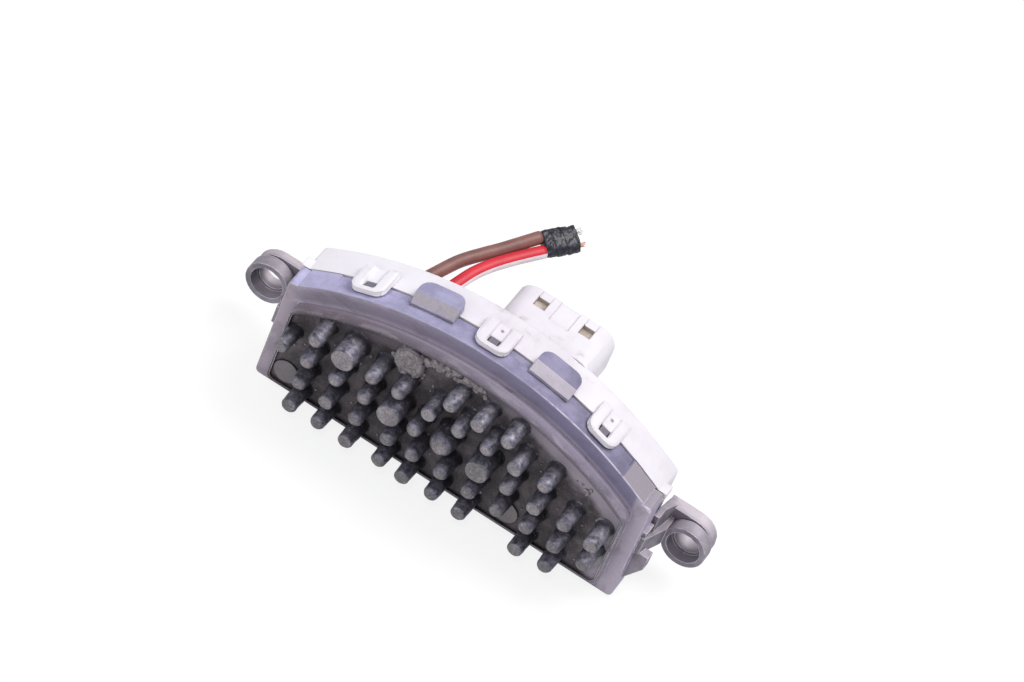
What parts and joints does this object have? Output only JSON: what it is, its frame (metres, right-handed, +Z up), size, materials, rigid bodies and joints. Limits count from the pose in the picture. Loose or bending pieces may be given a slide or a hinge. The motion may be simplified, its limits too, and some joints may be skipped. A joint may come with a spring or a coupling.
{
  "type": "blower motor resistor",
  "caption": "Blower motor resistor: arched cast aluminium heat sink with cooling pins and screw ears, a clipped-on white cover, a connector shroud and two cut motor leads taped together.",
  "frame": {"origin": "on the underside of the casting's straight edge, at the middle of its length and of the flange's thickness", "axes": "+X along the straight edge, +Y from the cooling pins towards the connector, +Z up from the straight edge to the crown of the arch"},
  "size_m": [0.1296, 0.0684, 0.0492],
  "materials": {
    "cast_aluminium": "dull grey casting",
    "white_plastic": "satin moulding",
    "board_green": "lacquered laminate",
    "black_moulding": "moulded",
    "grey_pad": "matt sheet",
    "plated_steel": "zinc plated",
    "tinned_brass": "tinned",
    "ferrite": "matt",
    "sleeve_blue": "shrink sleeve",
    "copper": "bare",
    "brown_insulation": "satin",
    "red_insulation": "satin",
    "black_tape": "glossy tape"
  },
  "bodies": {
    "root": {"heat_sink": "cast_aluminium", "cover": "white_plastic", "circuit_board": "board_green", "board_screw_1": "plated_steel", "board_screw_2": "plated_steel", "board_screw_3": "plated_steel", "power_transistor_left": "black_moulding", "power_transistor_right": "black_moulding", "insulating_pad_left": "grey_pad", "insulating_pad_right": "grey_pad", "transistor_screw_left": "plated_steel", "transistor_screw_right": "plated_steel", "capacitor_left": "sleeve_blue", "capacitor_right": "sleeve_blue", "choke": "ferrite", "control_chip": "black_moulding", "shunt_strip": "copper", "connector_blade_1": "tinned_brass", "connector_blade_2": "tinned_brass", "connector_blade_3": "tinned_brass", "connector_blade_4": "tinned_brass", "brown_lead_cup": "tinned_brass", "red_lead_cup": "tinned_brass", "lead_brown": "brown_insulation", "lead_red": "red_insulation", "tape_wrap": "black_tape", "copper_strands_brown": "copper", "copper_strands_red": "copper"}
  },
  "joints": []
}
